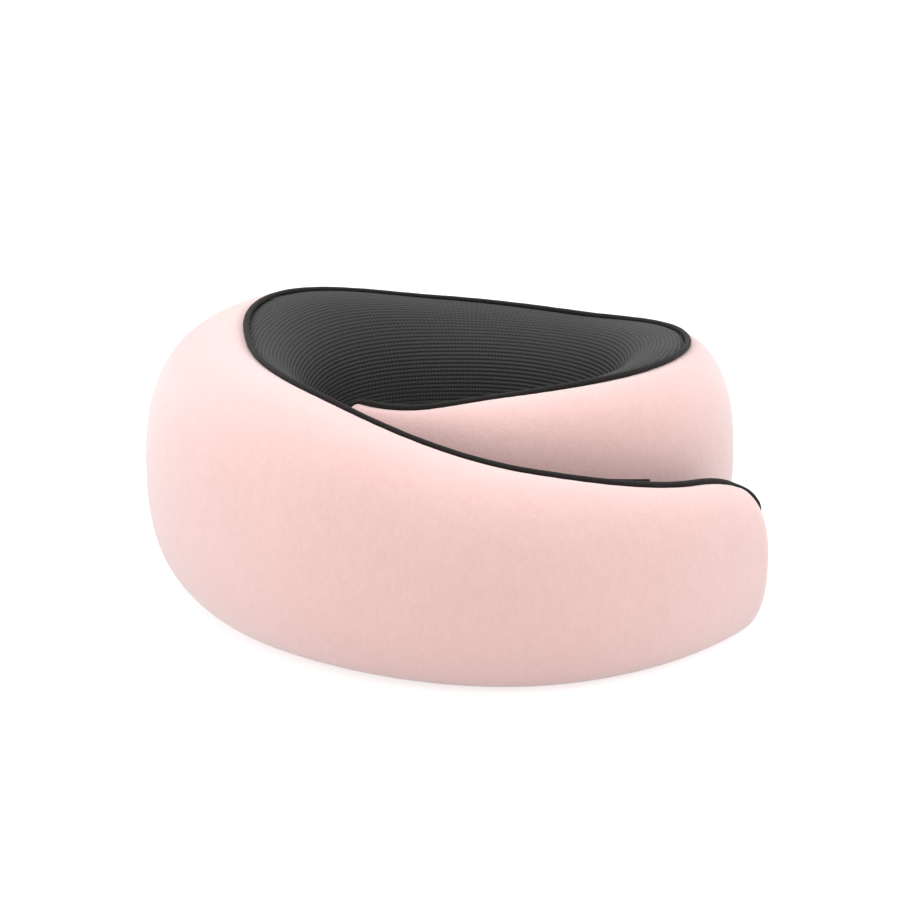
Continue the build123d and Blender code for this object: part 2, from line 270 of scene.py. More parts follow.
def weld(piece, distance=0.02 * MM):
    """Merges doubled points and drops the empty faces that leaves."""
    work = bmesh.new()
    work.from_mesh(piece.data)
    bmesh.ops.remove_doubles(work, verts=work.verts, dist=distance)
    bmesh.ops.dissolve_degenerate(work, edges=work.edges, dist=distance / 10)
    work.to_mesh(piece.data)
    work.free()


def apply_modifiers(piece):
    """Turns what the modifiers make into the piece's own mesh."""
    evaluated = piece.evaluated_get(bpy.context.evaluated_depsgraph_get())
    made = bpy.data.meshes.new_from_object(evaluated)
    piece.modifiers.clear()
    piece.data = made
    made.name = piece.name


def finish_mesh(piece, sharp=50):
    """Smooth shading with sharp rims."""
    mesh = piece.data
    mesh.polygons.foreach_set("use_smooth", np.ones(len(mesh.polygons), bool))
    mesh.set_sharp_from_angle(angle=math.radians(sharp))


def thicken(piece, thickness):
    """Closed shell of a thickness inwards."""
    solid = piece.modifiers.new("Thickness", "SOLIDIFY")
    solid.thickness = thickness
    solid.offset = -1
    solid.use_rim = True
    apply_modifiers(piece)


def strip_runs(run, step):
    """Runs along a stretch, about a step apart along the middle of the roll."""
    count = max(8, round(math.radians(run[1] - run[0]) * ROLL_LENGTH_RADIUS / step))
    return np.linspace(run[0], run[1], count + 1)


def dress(piece, material):
    piece.data.materials.clear()
    piece.data.materials.append(material)


def bend(piece, bodies, angle, reach):
    """Bends a piece of fabric across the joint at an angle."""
    middle = roll_point(angle, 0.0)
    radial = np.array([math.cos(math.radians(angle)), -math.sin(math.radians(angle)), 0])
    onward = np.array([radial[1], -radial[0], 0])
    middle = middle - radial * float(station_value(HALF_THICKNESS, angle))
    way = onward if bodies[1].startswith("inner") else -onward
    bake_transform(piece, bodies[0], bodies[1], middle - way * reach[0], middle + way * reach[1])


# ---------------------------------------------------------------- filling

SIM_RUNS = np.linspace(TIP_RUN[0], TIP_RUN[1], 151)
SIM_TURNS = np.linspace(-270, 90, 61)
SWELL_LIMIT = 1.8 * MM


def zip_place(points):
    """Angle round the zip's arc in degrees, distance up the wall and distance out of it."""
    offset = points - ZIP_CENTRE
    round_arc = np.degrees(np.arctan2(offset[..., 1], offset[..., 0]))
    reach = np.hypot(offset[..., 0], offset[..., 1]) - ZIP_RADIUS
    up = reach * math.sin(ZIP_TILT) + offset[..., 2] * math.cos(ZIP_TILT)
    out = reach * math.cos(ZIP_TILT) - offset[..., 2] * math.sin(ZIP_TILT)
    return round_arc, up, out


def zip_point(round_arc, up, out):
    """Point by the zip from its angle round the arc, distance up the wall and out of it."""
    reach = ZIP_RADIUS + up * math.sin(ZIP_TILT) + out * math.cos(ZIP_TILT)
    height = up * math.cos(ZIP_TILT) - out * math.sin(ZIP_TILT)
    cos_a, sin_a = np.cos(np.radians(round_arc)), np.sin(np.radians(round_arc))
    return ZIP_CENTRE + np.stack(np.broadcast_arrays(reach * cos_a, reach * sin_a, height), -1)


def smooth_step(value):
    t = np.clip(value, 0, 1)
    return t * t * (3 - 2 * t)


def recess(points, level):
    """Points under the zip pushed in to a level, with a folded edge round the cover's opening."""
    round_arc, up, out = zip_place(points)
    past_end = np.maximum(ZIP_ENDS[0] - round_arc, round_arc - ZIP_ENDS[1])
    past_end = past_end * math.radians(1) * ZIP_RADIUS
    edge = np.maximum(np.abs(up) - SLOT_HALF_WIDTH, past_end)
    near = (np.abs(up) < 20 * MM) & (points[..., 1] > 0) & (np.abs(out) < 12 * MM)
    push = np.where(near, smooth_step(-edge / (1.6 * MM)) * np.maximum(out - level, 0), 0)
    lip = np.where(near, 0.5 * MM * np.exp(-((edge - 0.9 * MM) / (1.1 * MM)) ** 2), 0)
    lip = lip * (level > -2 * MM)
    return points + (zip_point(round_arc, up, out - push + lip) - zip_point(round_arc, up, out))


def swell_field():
    """Moves of the roll's skin when its filling presses outwards, on a grid of runs and turns."""
    still = np.zeros((len(SIM_RUNS), len(SIM_TURNS), 3))
    rest = roll_point(SIM_RUNS[:, None], SIM_TURNS[None, :-1], 0.8 * MM)
    rows = rest.shape[1]
    flat = rest.reshape(-1, 3)
    _, first, merged = np.unique(np.round(flat, 5), axis=0, return_index=True, return_inverse=True)
    merged = merged.ravel()
    faces = []
    for quad in merged[grid_faces(len(SIM_RUNS), rows, closed=True)]:
        kept = [v for k, v in enumerate(quad) if v != quad[k - 1]]
        if len(set(kept)) > 2:
            faces.append(list(dict.fromkeys(kept)))
    skin = new_piece("Filling pressure", flat[first], faces)
    fix_normals(skin)
    seam = crown_turn(SIM_RUNS, 0)[:, None]
    low = 180 - wall_turn(SIM_RUNS, LOWER_SEAM_HEIGHT)[:, None] - 360
    turns = np.broadcast_to(SIM_TURNS[None, :-1], rest.shape[:2])
    points_seam = roll_point(SIM_RUNS[:, None], seam, 0.8 * MM)
    points_low = roll_point(SIM_RUNS[:, None], low, 0.8 * MM)
    to_seam = np.linalg.norm(rest - points_seam, axis=2)
    to_low = np.linalg.norm(rest - points_low, axis=2)
    held = (to_seam < 4 * MM) | (to_low < 4 * MM) | (rest[..., 2] < 1.5 * MM)
    group = skin.vertex_groups.new(name="Held")
    group.add([int(v) for v in np.unique(merged[held.ravel()])], 1.0, "REPLACE")
    cloth = skin.modifiers.new("Cloth", "CLOTH")
    settings = cloth.settings
    settings.quality = 4
    settings.mass = 0.3
    settings.tension_stiffness = 25
    settings.compression_stiffness = 25
    settings.shear_stiffness = 8
    settings.bending_stiffness = 1.5
    settings.use_pressure = True
    settings.uniform_pressure_force = 4
    settings.vertex_group_mass = "Held"
    settings.effector_weights.gravity = 0
    cloth.collision_settings.use_collision = False
    cloth.point_cache.frame_start = 1
    cloth.point_cache.frame_end = 20
    scene = bpy.context.scene
    for number in range(1, 21):
        scene.frame_set(number)
    evaluated = skin.evaluated_get(bpy.context.evaluated_depsgraph_get())
    moved = np.zeros(len(skin.data.vertices) * 3)
    evaluated.data.vertices.foreach_get("co", moved)
    move = moved.reshape(-1, 3)[merged].reshape(rest.shape) - rest
    bpy.data.objects.remove(skin)
    scene.frame_set(1)
    length = np.linalg.norm(move, axis=2, keepdims=True)
    move *= SWELL_LIMIT * np.tanh(length / SWELL_LIMIT) / np.maximum(length, 1e-9)
    free = (1 - np.exp(-(to_seam / (9 * MM)) ** 2)) * (1 - np.exp(-(to_low / (9 * MM)) ** 2))
    still[:, :-1] = move * free[..., None]
    still[:, -1] = still[:, 0]
    return still


def swell_at(runs, turns):
    """The filling's move at a grid of runs, with turns given for each run."""
    step = np.clip((runs - SIM_RUNS[0]) / (SIM_RUNS[1] - SIM_RUNS[0]), 0, len(SIM_RUNS) - 1.001)
    i = step.astype(int)[:, None]
    f = (step - step.astype(int))[:, None, None]
    place = ((turns - SIM_TURNS[0]) % 360) / (SIM_TURNS[1] - SIM_TURNS[0])
    j = np.minimum(place.astype(int), len(SIM_TURNS) - 2)
    g = (place - j)[..., None]
    facing = np.cos(np.radians(turns))
    outer_arm = smooth_step((200 - runs) / 15)[:, None] * smooth_step(-facing * 3)
    inner_tip = smooth_step((runs - 415) / 15)[:, None] * smooth_step(facing * 3)
    free = 1 - 0.9 * np.maximum(outer_arm, inner_tip)[..., None]
    near = SWELL[i, j] * (1 - g) + SWELL[i, j + 1] * g
    far = SWELL[i + 1, j] * (1 - g) + SWELL[i + 1, j + 1] * g
    return (near * (1 - f) + far * f) * free


# ---------------------------------------------------------------- relief of the fabric

def wave_noise(run, turn, seed, count=10, low=2, high=7):
    """Slow smooth unevenness over the roll, about -1 to 1."""
    rng = np.random.default_rng(seed)
    total = 0
    for _ in range(count):
        a, b = rng.integers(low, high + 1, 2)
        phase = rng.uniform(0, 2 * np.pi, 2)
        along = np.sin(np.radians(run) * a + phase[0])
        total = total + along * np.sin(np.radians(turn) * b / 2 + phase[1])
    return total / math.sqrt(count)


def seam_tuck(distance):
    """How far fabric dips towards a seam at a distance from it."""
    return SEAM_TUCK * np.exp(-(distance / SEAM_TUCK_REACH) ** 2)


def pulled_skin(runs, turns, depth):
    """Skin points with the filling's swell, at a depth, kept clear of the zip and off the floor."""
    points = roll_point(runs[:, None], turns, depth)
    round_arc, up, _ = zip_place(points)
    beside = smooth_step((np.abs(up) - 9 * MM) / (14 * MM))
    beyond = smooth_step(np.maximum(ZIP_ENDS[0] - 4 - round_arc, round_arc - ZIP_ENDS[1] - 4) / 8)
    clear = np.where(points[..., 1] > 0, np.maximum(beside, beyond), 1)
    points = points + swell_at(runs, turns) * clear[..., None]
    points[..., 2] = np.maximum(points[..., 2], 0)
    return points


def cover_depth(runs, turns, length):
    """Depth of the cover's outer face: dips at the seams, puckers beside them, uneven filling."""
    run = runs[:, None]
    low = length[:, -1:] - length
    pucker = np.sin(np.radians(run) * 83 + 0.9 * np.sin(np.radians(run) * 19))
    pucker = pucker * (0.6 + 0.4 * np.sin(np.radians(run) * 11))
    puckers = 0.09 * MM * pucker * np.exp(-length / (7 * MM)) * (1 - np.exp(-length / (2 * MM)))
    away = 1 - np.exp(-length / (15 * MM))
    return seam_tuck(length) + seam_tuck(low) + puckers - 0.3 * MM * wave_noise(run, turns, 3) * away


def build_cover(name, run):
    """Pink panel: from the crown seam over the outside and under to the lower seam."""
    runs = strip_runs(run, 1.25 * MM if name == "right" else 1.6 * MM)
    start = crown_turn(runs, SEAM_GAP)
    end = -180 - wall_turn(runs, LOWER_SEAM_HEIGHT - SEAM_GAP)
    turns, length = even_turns(runs, start, end, 190 if name == "right" else 140)
    points = recess(pulled_skin(runs, turns, cover_depth(runs, turns, length)), COVER_ZIP_LEVEL)
    piece = new_piece(f"cover_{name}_panel", points, grid_faces(len(runs), turns.shape[1]))
    weld(piece)
    thicken(piece, COVER_THICKNESS)
    finish_mesh(piece)
    return piece


def knit_rise(up):
    """Height of the spacer mesh's rows above its ground, at a distance up from the lower seam."""
    return ROW_RISE * (0.5 + 0.5 * np.cos(2 * np.pi * up / ROW_PITCH)) ** 0.7


def build_mesh(name, run):
    """Spacer-mesh panel: from the lower seam up the neck side to the crown seam."""
    runs = strip_runs(run, 1.5 * MM)
    start = 180 - wall_turn(runs, LOWER_SEAM_HEIGHT + SEAM_GAP)
    end = crown_turn(runs, -SEAM_GAP)
    turns, length = even_turns(runs, start, end, 400)
    total = length[:, -1:]
    depth = seam_tuck(total - length) + seam_tuck(length) + 0.2 * MM - knit_rise(length)
    points = pulled_skin(runs, turns, depth)
    along = np.broadcast_to((np.radians(runs) * KNIT_LENGTH_RADIUS)[:, None], length.shape)
    faces = grid_faces(len(runs), turns.shape[1])
    piece = new_piece(f"spacer_mesh_{name}_panel", points, faces, np.stack([along, length], -1))
    weld(piece, 0.005 * MM)
    thicken(piece, MESH_THICKNESS)
    finish_mesh(piece)
    return piece


def seam_line(run, step):
    """Middle line of the piping and its upward direction, down the end of the roll at a tip."""
    inside = np.clip(run, FIRST_ANGLE, LAST_ANGLE)
    runs = strip_runs(inside, step)
    turns = crown_turn(runs, 0)
    points = roll_point(runs, turns)
    up = points - roll_point(runs, turns, 2 * MM)
    for tip in TIP_RUN:
        if tip not in run:
            continue
        down = np.linspace(90, float(wall_turn(tip, LOWER_SEAM_HEIGHT)), 90)[1:]
        end = roll_point(tip, down)
        end_up = end - roll_point(tip, down, 2 * MM)
        if tip == run[0]:
            points, up = np.concatenate([end[::-1], points]), np.concatenate([end_up[::-1], up])
        else:
            points, up = np.concatenate([points, end]), np.concatenate([up, end_up])
    return points, up


def unit(vectors):
    return vectors / np.linalg.norm(vectors, axis=-1, keepdims=True)


def even_line(points, up, step):
    """The same line with evenly spaced points, and the distances along it."""
    length = np.concatenate([[0], np.cumsum(np.linalg.norm(np.diff(points, axis=0), axis=1))])
    wanted = np.linspace(0, length[-1], max(4, round(length[-1] / step)))
    even = [np.stack([np.interp(wanted, length, a[:, k]) for k in range(3)], 1) for a in (points, up)]
    return even[0], unit(even[1]), wanted


def build_piping(name, run, sides=20):
    """Flat corded piping along the crown seam and down the end of a tip."""
    points, up = seam_line(run, 1 * MM)
    points, up, length = even_line(points, up, 0.9 * MM)
    along = unit(np.gradient(points, axis=0))
    across = unit(np.cross(along, up))
    out = np.cross(across, along)
    middle = points + out * 0.15 * MM
    turn = np.linspace(0, 2 * np.pi, sides, endpoint=False)
    wave = 1 + 0.035 * np.sin(length / (7 * MM)) * np.sin(length / (2.3 * MM))
    ring = (out[:, None] * np.sin(turn)[:, None] * PIPING_HALF_HEIGHT
            + across[:, None] * np.cos(turn)[:, None] * PIPING_HALF_WIDTH)
    body = middle[:, None] + ring * wave[:, None, None]
    uv = np.stack(np.broadcast_arrays(length[:, None], turn * 1.5 * MM), -1)
    faces = grid_faces(len(points), sides, closed=True).tolist()
    count = len(points) * sides
    faces += [list(range(sides)), list(range(count - 1, count - sides - 1, -1))]
    piece = new_piece(f"piping_{name}_cord", body, faces, uv)
    fix_normals(piece)
    finish_mesh(piece)
    return piece


def fix_normals(piece):
    """Turns every face of a closed mesh outwards."""
    work = bmesh.new()
    work.from_mesh(piece.data)
    bmesh.ops.recalc_face_normals(work, faces=work.faces)
    work.to_mesh(piece.data)
    work.free()


def build_roll(name, run, depth, step, level):
    """Closed solid of the roll at a depth, flat at the ends of its stretch."""
    low = run[0] if run[0] == TIP_RUN[0] else run[0] + 0.1
    high = run[1] if run[1] == TIP_RUN[1] else run[1] - 0.1
    runs = strip_runs((low, high), step)
    turns = np.linspace(90, -270, 72, endpoint=False)
    points = recess(roll_point(runs[:, None], turns, depth), level)
    rows = len(turns)
    faces = grid_faces(len(runs), rows, closed=True).tolist()
    count = len(runs) * rows
    if run[0] != TIP_RUN[0]:
        faces.append(list(range(rows)))
    if run[1] != TIP_RUN[1]:
        faces.append(list(range(count - 1, count - rows - 1, -1)))
    piece = new_piece(name, points, faces)
    weld(piece)
    fix_normals(piece)
    finish_mesh(piece)
    return piece


def wall_points(columns, levels, outer_side, out):
    """Points over a wall of the swollen roll at given angles and heights."""
    turns = wall_turn(columns[:, None], levels)
    if not outer_side:
        turns = 180 - turns
    return roll_point(columns[:, None], turns, -out) + swell_at(columns, turns)


def build_patch(name, angles, heights, outer_side, climb=0.0, proud=1.0 * MM):
    """Rectangle of touch fastener lying on a wall of the roll, and the line of its border."""
    columns = np.linspace(*angles, 90)
    levels = np.linspace(*heights, 60)[None]
    lifted = levels + climb * (columns - columns[0])[:, None]
    wide = math.radians(angles[1] - angles[0]) * ROLL_LENGTH_RADIUS
    to_end = np.minimum(columns - columns[0], columns[-1] - columns)[:, None]
    to_rim = np.minimum(levels - levels[0, 0], levels[0, -1] - levels)
    edge = np.minimum(to_end * math.radians(1) * ROLL_LENGTH_RADIUS, to_rim)
    rounding = 0.4 * MM * np.exp(-edge / (0.5 * MM))
    ditch = 0.25 * MM * np.exp(-((edge - 2.2 * MM) / (0.5 * MM)) ** 2)
    top = wall_points(columns, lifted, outer_side, proud - rounding - ditch)
    uv = np.stack(np.broadcast_arrays(np.linspace(0, wide, 90)[:, None], levels), -1)
    piece = new_piece(name, top, grid_faces(90, 60), uv)
    if not outer_side:
        piece.data.flip_normals()
    thicken(piece, proud - 0.1 * MM)
    fix_normals(piece)
    finish_mesh(piece)
    return piece


def patch_border(angles, heights, outer_side, climb=0.0):
    """Closed line round a patch, inside its edge, with the outward direction at each point."""
    turn_in = math.degrees(BORDER_INSET / ROLL_LENGTH_RADIUS)
    a = np.linspace(angles[0] + turn_in, angles[1] - turn_in, 40)
    z = np.linspace(heights[0] + BORDER_INSET, heights[1] - BORDER_INSET, 24)
    run = np.concatenate([a, np.full(24, a[-1]), a[::-1], np.full(24, a[0])])
    high = np.concatenate([np.full(40, z[0]), z, np.full(40, z[-1]), z[::-1]])
    high = high + climb * (run - angles[0])
    high = high[:, None]
    line = wall_points(run, high, outer_side, BORDER_LIFT)[:, 0]
    base = wall_points(run, high, outer_side, 0)[:, 0]
    return line, unit(line - base)


def zip_tape(name, side):
    """Woven tape on one side of the teeth, running under the fold of the cover."""
    arc = np.linspace(ZIP_ENDS[0] - 0.6, ZIP_ENDS[1] + 0.6, 150)
    edges = np.concatenate([[1.0], np.linspace(1.15, 7.5, 14)]) * MM
    out = np.full(len(edges), -0.75 * MM)
    out[0] = -0.95 * MM
    points = zip_point(arc[:, None], side * edges[None], out[None])
    length = np.radians(arc - arc[0])[:, None] * ZIP_RADIUS
    uv = np.stack(np.broadcast_arrays(length, edges[None]), -1)
    piece = new_piece(name, points, grid_faces(len(arc), len(edges)), uv)
    if side > 0:
        piece.data.flip_normals()
    thicken(piece, 0.6 * MM)
    fix_normals(piece)
    finish_mesh(piece)
    return piece


# ---------------------------------------------------------------- repeated detail

def row_tree():
    """Geometry nodes that set small oval shapes in a row along a line, such as thread or teeth."""
    tree = bpy.data.node_groups.new("Shapes in a row", "GeometryNodeTree")
    face = tree.interface
    face.new_socket("Line", in_out="INPUT", socket_type="NodeSocketGeometry")
    for label, kind in (("Pitch", "Float"), ("Size", "Vector"), ("Stagger", "Float"), ("Lift", "Float"),
                        ("Slant", "Float"), ("Material", "Material")):
        face.new_socket(label, in_out="INPUT", socket_type=f"NodeSocket{kind}")
    face.new_socket("Shapes", in_out="OUTPUT", socket_type="NodeSocketGeometry")
    add = Builder(tree)
    given = add("NodeGroupInput")
    line = add("GeometryNodeMeshToCurve", Mesh=given.outputs["Line"])
    spaced = add("GeometryNodeResampleCurve", mode="LENGTH", Curve=line, Length=given.outputs["Pitch"])
    shape = add("GeometryNodeMeshUVSphere", Segments=8, Rings=5, Radius=0.5)
    sized = add("GeometryNodeTransform", Geometry=shape.outputs["Mesh"], Scale=given.outputs["Size"])
    out = add("GeometryNodeInputNamedAttribute", data_type="FLOAT_VECTOR", Name="out")
    upright = add("FunctionNodeAlignRotationToVector", axis="Z", Vector=out.outputs["Attribute"])
    way = add("GeometryNodeInputTangent")
    laid = add("FunctionNodeAlignRotationToVector", axis="X", pivot_axis="Z", Rotation=upright, Vector=way)
    placed = add("GeometryNodeInstanceOnPoints", Points=spaced, Instance=sized, Rotation=laid)
    number = add("GeometryNodeInputIndex")
    odd = add("ShaderNodeMath", operation="MODULO", _0=number, _1=2.0)
    sign = add("ShaderNodeMath", operation="MULTIPLY_ADD", _0=odd, _1=2.0, _2=-1.0)
    aside = add("ShaderNodeMath", operation="MULTIPLY", _0=sign, _1=given.outputs["Stagger"])
    shift = add("ShaderNodeCombineXYZ", Y=aside, Z=given.outputs["Lift"])
    moved = add("GeometryNodeTranslateInstances", Instances=placed, Translation=shift)
    lean = add("ShaderNodeMath", operation="MULTIPLY", _0=sign, _1=given.outputs["Slant"])
    turn = add("ShaderNodeCombineXYZ", Z=lean)
    turned = add("GeometryNodeRotateInstances", Instances=moved, Rotation=turn)
    real = add("GeometryNodeRealizeInstances", Geometry=turned)
    smooth = add("GeometryNodeSetShadeSmooth", Geometry=real)
    done = add("GeometryNodeSetMaterial", Geometry=smooth, Material=given.outputs["Material"])
    add("NodeGroupOutput", Shapes=done)
    return tree


def row_of_shapes(name, tree, lines, material, pitch, size, stagger=0.0, lift=0.0, slant=0.0):
    """Plain mesh of shapes set along lines, each line given as points and outward directions."""
    points = np.concatenate([line for line, _ in lines])
    out = np.concatenate([up for _, up in lines])
    edges, start = [], 0
    for line, _ in lines:
        edges += [(k, k + 1) for k in range(start, start + len(line) - 1)]
        start += len(line)
    mesh = bpy.data.meshes.new(name)
    mesh.from_pydata(points.tolist(), edges, [])
    outward = mesh.attributes.new("out", "FLOAT_VECTOR", "POINT")
    outward.data.foreach_set("vector", out.astype(np.float32).ravel())
    piece = bpy.data.objects.new(name, mesh)
    bpy.context.scene.collection.objects.link(piece)
    modifier = piece.modifiers.new("Row", "NODES")
    modifier.node_group = tree
    values = {"Pitch": pitch, "Size": size, "Stagger": stagger, "Lift": lift, "Slant": slant,
              "Material": material}
    for item in tree.interface.items_tree:
        if item.in_out == "INPUT" and item.name in values:
            modifier[item.identifier] = values[item.name]
    apply_modifiers(piece)
    for extra in [a for a in piece.data.attributes if a.name == "out"]:
        piece.data.attributes.remove(extra)
    return piece


# ---------------------------------------------------------------- materials

class Builder:
    """Adds nodes to a tree: socket values and links by name, or by number as _0, _1."""

    def __init__(self, tree):
        self.tree = tree

    def __call__(self, kind, **given):
        node = self.tree.nodes.new(kind)
        for key, value in given.items():
            if key.lstrip("_").isdigit() or key.replace("_", " ") in node.inputs:
                label = int(key[1:]) if key.startswith("_") else key.replace("_", " ")
                socket = node.inputs[label]
                if isinstance(value, bpy.types.Node):
                    value = value.outputs[0]
                if isinstance(value, bpy.types.NodeSocket):
                    self.tree.links.new(value, socket)
                else:
                    socket.default_value = value
            else:
                setattr(node, key, value)
        return node


def effect(name, inputs, outputs):
    """Empty shader group with its sockets, its builder and its input node."""
    tree = bpy.data.node_groups.new(name, "ShaderNodeTree")
    for label, kind, value in inputs:
        socket = tree.interface.new_socket(label, in_out="INPUT", socket_type=f"NodeSocket{kind}")
        socket.default_value = value
    for label, kind in outputs:
        tree.interface.new_socket(label, in_out="OUTPUT", socket_type=f"NodeSocket{kind}")
    add = Builder(tree)
    return tree, add, add("NodeGroupInput")


def ramp(add, value, low, high):
    """Mask that climbs from 0 to 1 between two values."""
    return add("ShaderNodeMapRange", interpolation_type="SMOOTHSTEP", Value=value,
               From_Min=low, From_Max=high)


def mixed(add, factor, first, second):
    node = add("ShaderNodeMix", data_type="RGBA")
    for key, value in ((0, factor), (6, first), (7, second)):
        if isinstance(value, bpy.types.Node):
            value = value.outputs[0]
        if isinstance(value, bpy.types.NodeSocket):
            add.tree.links.new(value, node.inputs[key])
        else:
            node.inputs[key].default_value = value
    return node.outputs[2]


def pile_effect():
    """Fine brushed fibres: a mottled colour and the height of the nap."""
    tree, add, given = effect(
        "Brushed pile",
        [("Tip Color", "Color", (1, 1, 1, 1)), ("Root Color", "Color", (0, 0, 0, 1)),
         ("Fibre Scale", "Float", 1400.0), ("Patch Scale", "Float", 16.0)],
        [("Color", "Color"), ("Height", "Float")])
    place = add("ShaderNodeTexCoord").outputs["Object"]
    squeezed = add("ShaderNodeMapping", Vector=place, Scale=(1.0, 1.0, 0.45))
    fibre = add("ShaderNodeTexNoise", Vector=squeezed, Scale=given.outputs["Fibre Scale"],
                Detail=3.0, Roughness=0.65)
    streak = add("ShaderNodeTexNoise", Vector=squeezed, Scale=320.0, Detail=3.0, Roughness=0.6)
    broad = add("ShaderNodeTexNoise", Vector=place, Scale=given.outputs["Patch Scale"], Detail=2.0)
    fine = ramp(add, fibre, 0.3, 0.7)
    middle = ramp(add, streak, 0.32, 0.68)
    wide = ramp(add, broad, 0.3, 0.7)
    a = add("ShaderNodeMath", operation="MULTIPLY", _0=fine, _1=0.42)
    b = add("ShaderNodeMath", operation="MULTIPLY_ADD", _0=middle, _1=0.3, _2=a)
    c = add("ShaderNodeMath", operation="MULTIPLY_ADD", _0=wide, _1=0.28, _2=b)
    color = mixed(add, c, given.outputs["Root Color"], given.outputs["Tip Color"])
    d = add("ShaderNodeMath", operation="MULTIPLY_ADD", _0=middle, _1=0.6, _2=fine)
    add("NodeGroupOutput", Color=color, Height=d)
    return tree


def wave(add, value, pitch, shift=0.0):
    """Cosine from 0 to 1 along a value with a pitch."""
    share = add("ShaderNodeMath", operation="DIVIDE", _0=value, _1=pitch)
    moved = add("ShaderNodeMath", operation="ADD", _0=share, _1=shift)
    angle = add("ShaderNodeMath", operation="MULTIPLY", _0=moved, _1=2 * math.pi)
    cosine = add("ShaderNodeMath", operation="COSINE", _0=angle)
    return add("ShaderNodeMath", operation="MULTIPLY_ADD", _0=cosine, _1=0.5, _2=0.5)


def knit_effect():
    """Spacer mesh: rows of thread with painted highlight on their crests, painted shade in the grooves and
    deeper painted shade in a hole in each column.
    """
    tree, add, given = effect(
        "Spacer knit",
        [("Thread Color", "Color", (1, 1, 1, 1)), ("Hole Color", "Color", (0, 0, 0, 1)),
         ("Row Pitch", "Float", ROW_PITCH), ("Column Pitch", "Float", COLUMN_PITCH)],
        [("Color", "Color"), ("Height", "Float")])
    uv = add("ShaderNodeUVMap", uv_map="Fabric")
    split = add("ShaderNodeSeparateXYZ", _0=uv)
    u, v = split.outputs[0], split.outputs[1]
    row = wave(add, v, given.outputs["Row Pitch"])
    column = wave(add, u, given.outputs["Column Pitch"])
    rib = wave(add, u, given.outputs["Column Pitch"], 0.5)
    groove = ramp(add, row, 0.55, 0.1)
    dot = add("ShaderNodeMath", operation="MULTIPLY_ADD", _0=ramp(add, column, 0.3, 0.8), _1=0.75, _2=0.25)
    hole = add("ShaderNodeMath", operation="MULTIPLY", _0=groove, _1=dot)
    loops = add("ShaderNodeMath", operation="MULTIPLY", _0=row, _1=rib)
    place = add("ShaderNodeTexCoord").outputs["Object"]
    noise = add("ShaderNodeTexNoise", Vector=place, Scale=900.0, Detail=2.0)
    # Groove colour is painted shade: the thread colour darkened towards the hole colour between the rows.
    groove_shade = mixed(add, 0.3, given.outputs["Thread Color"], given.outputs["Hole Color"])
    ridge = add("ShaderNodeMath", operation="MULTIPLY_ADD", _0=rib, _1=0.45, _2=0.55)
    lit = add("ShaderNodeMath", operation="MULTIPLY", _0=row, _1=ridge)
    lit = add("ShaderNodeMath", operation="MULTIPLY_ADD", _0=noise, _1=0.3, _2=lit)
    # Painted highlight on the row crests and painted shade in the grooves, with some random tone from the
    # noise.
    ground = mixed(add, lit, groove_shade, given.outputs["Thread Color"])
    # The holes take the hole colour, which is painted shade inside each hole.
    color = mixed(add, hole, ground, given.outputs["Hole Color"])
    rise = add("ShaderNodeMath", operation="SUBTRACT", _0=loops, _1=hole)
    add("NodeGroupOutput", Color=color, Height=rise)
    return tree


def twill_effect():
    """Diagonal weave over the piece's own fabric map."""
    tree, add, given = effect(
        "Twill weave",
        [("Thread Color", "Color", (1, 1, 1, 1)), ("Shade Color", "Color", (0, 0, 0, 1)),
         ("Pitch", "Float", 0.0008)],
        [("Color", "Color"), ("Height", "Float")])
    uv = add("ShaderNodeUVMap", uv_map="Fabric")
    split = add("ShaderNodeSeparateXYZ", _0=uv)
    along = add("ShaderNodeMath", operation="MULTIPLY_ADD", _0=split.outputs[1], _1=1.3, _2=split.outputs[0])
    back = add("ShaderNodeMath", operation="MULTIPLY_ADD", _0=split.outputs[1], _1=-2.2, _2=split.outputs[0])
    rib = wave(add, along, given.outputs["Pitch"])
    cross = wave(add, back, given.outputs["Pitch"])
    place = add("ShaderNodeTexCoord").outputs["Object"]
    noise = add("ShaderNodeTexNoise", Vector=place, Scale=700.0, Detail=2.0)
    height = add("ShaderNodeMath", operation="MULTIPLY_ADD", _0=cross, _1=0.4, _2=rib)
    lit = add("ShaderNodeMath", operation="MULTIPLY", _0=height, _1=noise)
    color = mixed(add, lit, given.outputs["Shade Color"], given.outputs["Thread Color"])
    add("NodeGroupOutput", Color=color, Height=height)
    return tree


def grain_effect():
    """Small pores or scuffs on Object coordinates: a mask and a height."""
    tree, add, given = effect(
        "Pores",
        [("Scale", "Float", 500.0), ("Depth", "Float", 0.5)],
        [("Mask", "Float"), ("Height", "Float")])
    place = add("ShaderNodeTexCoord").outputs["Object"]
    cells = add("ShaderNodeTexVoronoi", Vector=place, Scale=given.outputs["Scale"])
    noise = add("ShaderNodeTexNoise", Vector=place, Scale=given.outputs["Scale"], Detail=3.0)
    pore = ramp(add, cells.outputs["Distance"], 0.25, 0.6)
    height = add("ShaderNodeMath", operation="MULTIPLY_ADD", _0=pore, _1=given.outputs["Depth"], _2=noise)
    mask = add("ShaderNodeMath", operation="MULTIPLY", _0=pore, _1=noise)
    add("NodeGroupOutput", Mask=mask, Height=height)
    return tree


def new_material(name, roughness, metallic=0.0):
    """Material, its shader and a builder for its nodes."""
    material = bpy.data.materials.new(name)
    material.use_nodes = True
    shader = material.node_tree.nodes["Principled BSDF"]
    shader.inputs["Roughness"].default_value = roughness
    shader.inputs["Metallic"].default_value = metallic
    return material, shader, Builder(material.node_tree)


